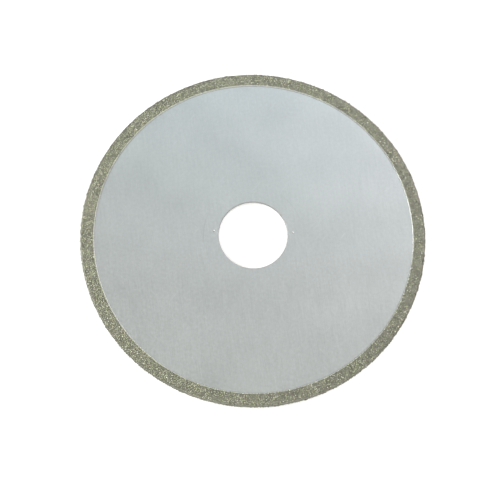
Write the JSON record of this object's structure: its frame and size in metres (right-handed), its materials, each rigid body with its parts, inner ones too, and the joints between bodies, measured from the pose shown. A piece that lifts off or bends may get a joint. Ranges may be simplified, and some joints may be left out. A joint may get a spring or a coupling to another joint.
{
  "type": "diamond grinding wheel",
  "caption": "Thin flat steel disc with a plain round bore and a nickel-plated rim of diamond grit over both faces and the edge.",
  "frame": {"origin": "on the axis of the bore, in the plane that the wheel lies on, which is the underside of the grit band", "axes": "+Z along the bore's axis, out of the front face, which is the one with the two punch marks; the wheel spins about Z; X and Y lie in the plane of the wheel, with one punch mark on each side of the bore along X, both a little towards +Y"},
  "size_m": [0.1, 0.1, 0.0018],
  "materials": {
    "steel": "satin",
    "nickel": "satin",
    "diamond": "satin"
  },
  "bodies": {
    "root": {"steel_core": "steel", "nickel_bond": "nickel", "diamond_grit": "diamond"}
  },
  "joints": []
}
